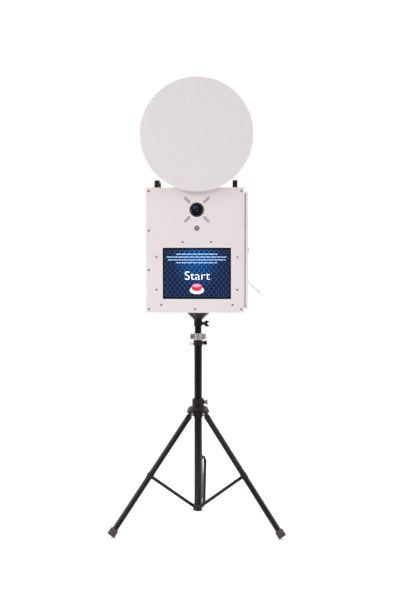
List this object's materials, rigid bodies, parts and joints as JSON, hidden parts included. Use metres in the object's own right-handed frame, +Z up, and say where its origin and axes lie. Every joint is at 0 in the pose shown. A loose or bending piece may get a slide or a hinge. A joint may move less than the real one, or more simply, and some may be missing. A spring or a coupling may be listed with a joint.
{
  "type": "photo booth",
  "caption": "Photo booth head with lens window, touch screen, round button and side print tray, on a folding tripod mast with a covered beauty dish above.",
  "frame": {"origin": "on the floor, where the mast's axis meets it", "axes": "+Z up the mast, -Y out of the front panel, +X towards the door and print tray"},
  "size_m": [0.8838, 0.7713, 2.2529],
  "materials": {
    "black_powder_coat": "gloss",
    "white_panel": "satin",
    "cast_silver": "satin",
    "bright_steel": "satin",
    "black_plastic": "matte",
    "rubber": "matte",
    "screen_glass": "gloss",
    "lens_glass": "gloss",
    "clear_acrylic": "gloss",
    "taupe_print": "matte",
    "white_fabric": "matte",
    "white_paint": "satin"
  },
  "bodies": {
    "mast": {"main_tube": "black_powder_coat", "foot_collar": "black_plastic", "top_clamp": "cast_silver", "clamp_bolt": "bright_steel", "pin_collar": "black_plastic"},
    "mast_knob_body": {"mast_knob": "black_plastic"},
    "locking_pin_body": {"locking_pin": "black_plastic"},
    "inner_mast": {"inner_tube": "black_powder_coat"},
    "hub_body": {"hub": "black_plastic", "hub_clamp": "black_plastic", "leg_pins": "bright_steel"},
    "hub_knob_body": {"hub_knob": "cast_silver"},
    "leg_left_body": {"leg_left": "black_powder_coat", "leg_bracket_left": "black_plastic", "foot_left": "rubber"},
    "brace_left_body": {"brace_left": "black_powder_coat"},
    "leg_right_body": {"leg_right": "black_powder_coat", "leg_bracket_right": "black_plastic", "foot_right": "rubber"},
    "brace_right_body": {"brace_right": "black_powder_coat"},
    "leg_rear_body": {"leg_rear": "black_powder_coat", "leg_bracket_rear": "black_plastic", "foot_rear": "rubber"},
    "brace_rear_body": {"brace_rear": "black_powder_coat"},
    "cabinet": {"pole_mount": "black_powder_coat", "front_panel": "white_panel", "top_panel": "white_panel", "bottom_panel": "white_panel", "left_panel": "white_panel", "rear_panel": "white_panel", "door_frame": "white_panel", "corner_posts": "cast_silver", "case_screws": "bright_steel", "carry_handles": "black_plastic", "door_seal": "rubber", "door_hinges": "bright_steel", "monitor": "black_plastic", "screen": "screen_glass", "monitor_frame": "black_powder_coat", "camera_body": "black_plastic", "lens": "black_plastic", "lens_glass": "lens_glass", "camera_shelf": "cast_silver", "arrow_marks": "taupe_print", "button_bezel": "bright_steel", "printer": "black_plastic", "printer_shelf": "cast_silver", "mini_pc": "black_plastic", "power_inlet": "black_plastic", "flash_post": "black_powder_coat"},
    "pole_knob_body": {"pole_knob": "black_plastic"},
    "door_body": {"door": "white_panel", "hinge_leaves": "bright_steel", "print_tray": "clear_acrylic"},
    "lock_body": {"door_lock": "bright_steel"},
    "button_body": {"push_button": "bright_steel"},
    "flash_body": {"flash_head": "black_plastic", "dish": "white_paint", "diffuser_sock": "white_fabric"},
    "tilt_lever_body": {"tilt_lever": "black_plastic"}
  },
  "joints": [
    {"name": "mast_height", "type": "slide", "parent": "mast", "child": "inner_mast", "axis": [0, 0, 1], "range_m": [-0.03, 0.55]},
    {"name": "head_turn", "type": "hinge", "parent": "inner_mast", "child": "cabinet", "pos_m": [0, 0, 1.032], "axis": [0, 0, 1], "continuous": true},
    {"name": "mast_knob_turn", "type": "hinge", "parent": "mast", "child": "mast_knob_body", "pos_m": [0.03, 0, 0.945], "axis": [1, 0, 0], "range_deg": [0, 360]},
    {"name": "locking_pin_push", "type": "slide", "parent": "mast", "child": "locking_pin_body", "axis": [1, 0, 0], "range_m": [0, 0.0066]},
    {"name": "stand_fold", "type": "slide", "parent": "mast", "child": "hub_body", "axis": [0, 0, 1], "range_m": [0, 0.2035]},
    {"name": "hub_knob_turn", "type": "hinge", "parent": "hub_body", "child": "hub_knob_body", "pos_m": [0.032, 0, 0.638], "axis": [1, 0, 0], "range_deg": [0, 360]},
    {"name": "leg_left_fold", "type": "hinge", "parent": "hub_body", "child": "leg_left_body", "pos_m": [-0.03637, -0.021, 0.58], "axis": [0.5, -0.866, 0], "range_deg": [0, 34.2]},
    {"name": "brace_left_fold", "type": "hinge", "parent": "mast", "child": "brace_left_body", "pos_m": [-0.01126, -0.0065, 0.088], "axis": [0.5, -0.866, 0], "range_deg": [-43.03, 0]},
    {"name": "leg_right_fold", "type": "hinge", "parent": "hub_body", "child": "leg_right_body", "pos_m": [0.03637, -0.021, 0.58], "axis": [0.5, 0.866, 0], "range_deg": [0, 34.2]},
    {"name": "brace_right_fold", "type": "hinge", "parent": "mast", "child": "brace_right_body", "pos_m": [0.01126, -0.0065, 0.088], "axis": [0.5, 0.866, 0], "range_deg": [-43.03, 0]},
    {"name": "leg_rear_fold", "type": "hinge", "parent": "hub_body", "child": "leg_rear_body", "pos_m": [0, 0.042, 0.58], "axis": [-1, 0, 0], "range_deg": [0, 34.2]},
    {"name": "brace_rear_fold", "type": "hinge", "parent": "mast", "child": "brace_rear_body", "pos_m": [0, 0.013, 0.088], "axis": [-1, 0, 0], "range_deg": [-43.03, 0]},
    {"name": "pole_knob_turn", "type": "hinge", "parent": "cabinet", "child": "pole_knob_body", "pos_m": [0.02154, -0.01508, 1.0465], "axis": [0.8192, -0.5736, 0], "range_deg": [0, 360]},
    {"name": "door_swing", "type": "hinge", "parent": "cabinet", "child": "door_body", "pos_m": [0.237, 0.185, 1.4175], "axis": [0, 0, 1], "range_deg": [0, 110]},
    {"name": "lock_turn", "type": "hinge", "parent": "door_body", "child": "lock_body", "pos_m": [0.252, -0.118, 1.4175], "axis": [1, 0, 0], "range_deg": [0, 90]},
    {"name": "button_press", "type": "slide", "parent": "cabinet", "child": "button_body", "axis": [0, 1, 0], "range_m": [0, 0.002], "stiffness_N_per_m": 800, "springref_m": -0.002},
    {"name": "flash_tilt", "type": "hinge", "parent": "cabinet", "child": "flash_body", "pos_m": [0, 0.022, 1.896], "axis": [-1, 0, 0], "range_deg": [0, 30]},
    {"name": "tilt_lever_turn", "type": "hinge", "parent": "cabinet", "child": "tilt_lever_body", "pos_m": [0.02, 0.022, 1.896], "axis": [1, 0, 0], "range_deg": [-60, 60]}
  ],
  "couplings": [
    {"joint": "leg_left_fold", "follows": "stand_fold", "rad_per_m": 2.9331},
    {"joint": "brace_left_fold", "follows": "stand_fold", "rad_per_m": -3.6904},
    {"joint": "leg_right_fold", "follows": "stand_fold", "rad_per_m": 2.9331},
    {"joint": "brace_right_fold", "follows": "stand_fold", "rad_per_m": -3.6904},
    {"joint": "leg_rear_fold", "follows": "stand_fold", "rad_per_m": 2.9331},
    {"joint": "brace_rear_fold", "follows": "stand_fold", "rad_per_m": -3.6904}
  ]
}
